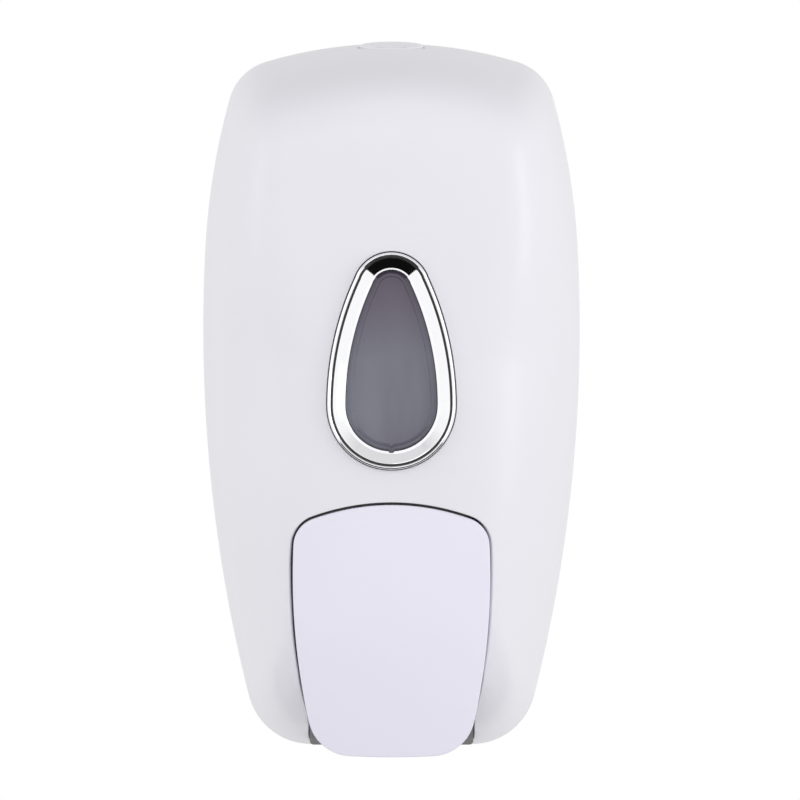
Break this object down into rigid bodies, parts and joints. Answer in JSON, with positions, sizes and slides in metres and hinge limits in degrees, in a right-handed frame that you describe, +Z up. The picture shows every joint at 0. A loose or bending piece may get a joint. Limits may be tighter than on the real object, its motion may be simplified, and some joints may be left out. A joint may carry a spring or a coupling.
{
  "type": "wall mounted soap dispenser",
  "caption": "Wall mounted manual soap dispenser: tilting domed cover, smoked window, push lever, lockable lid, refillable tank and plunger pump.",
  "frame": {"origin": "middle of the four wall screws, on the wall face of the back plate", "axes": "+Z up, +Y from the front of the dispenser into the wall, +X to the right seen from the front"},
  "size_m": [0.1196, 0.1019, 0.2226],
  "materials": {
    "white_gloss": "smooth glossy moulded plastic",
    "white_matte": "fine matte moulded plastic",
    "chrome_trim": "bright chrome plating",
    "smoked_clear": "smoked transparent plastic, polished",
    "frosted_clear": "frosted translucent plastic",
    "dark_grey": "matte textured plastic",
    "steel": "bright drawn steel",
    "black_rubber": "moulded rubber",
    "grey_rubber": "soft silicone rubber"
  },
  "bodies": {
    "wall_unit": {"back_plate": "white_matte", "lock_keeper": "white_matte", "hinge_pins": "steel", "base_tray": "dark_grey", "tray_screws": "steel", "soap_tank": "frosted_clear", "lid_pin": "steel", "collar_nut": "white_matte", "neck_gasket": "black_rubber", "pump_body": "white_matte", "inlet_valve": "grey_rubber", "outlet_valve": "grey_rubber", "spout": "white_matte", "gland_cap": "white_matte", "return_spring": "steel"},
    "cover": {"front_cover": "white_gloss", "window_bezel": "chrome_trim", "window_lens": "smoked_clear", "lever_pin": "steel"},
    "lever": {"push_lever": "white_gloss"},
    "lock": {"lock_barrel": "white_matte", "lock_cam": "white_matte", "lock_screw": "steel"},
    "lid": {"tank_lid": "white_matte", "lid_gasket": "black_rubber"},
    "pump_plunger": {"plunger": "white_matte", "plunger_seal": "black_rubber"}
  },
  "joints": [
    {"name": "cover_tilt", "type": "hinge", "parent": "wall_unit", "child": "cover", "pos_m": [0, -0.0055, -0.1075], "axis": [1, 0, 0], "range_deg": [0, 90]},
    {"name": "lever_press", "type": "hinge", "parent": "cover", "child": "lever", "pos_m": [0, -0.085, -0.03], "axis": [1, 0, 0], "range_deg": [0, 7], "stiffness_Nm_per_rad": 1.6, "springref_deg": -8.59, "deforming": ["return_spring"]},
    {"name": "plunger_stroke", "type": "slide", "parent": "wall_unit", "child": "pump_plunger", "axis": [0, 1, 0], "range_m": [0, 0.0068]},
    {"name": "lock_turn", "type": "hinge", "parent": "cover", "child": "lock", "pos_m": [0, -0.027, 0.109], "axis": [0, -0.1219, 0.9925], "range_deg": [0, 90]},
    {"name": "lid_flip", "type": "hinge", "parent": "wall_unit", "child": "lid", "pos_m": [0, -0.018, 0.0545], "axis": [-1, 0, 0], "range_deg": [0, 70]}
  ],
  "couplings": [
    {"joint": "plunger_stroke", "follows": "lever_press", "m_per_rad": 0.0553}
  ]
}
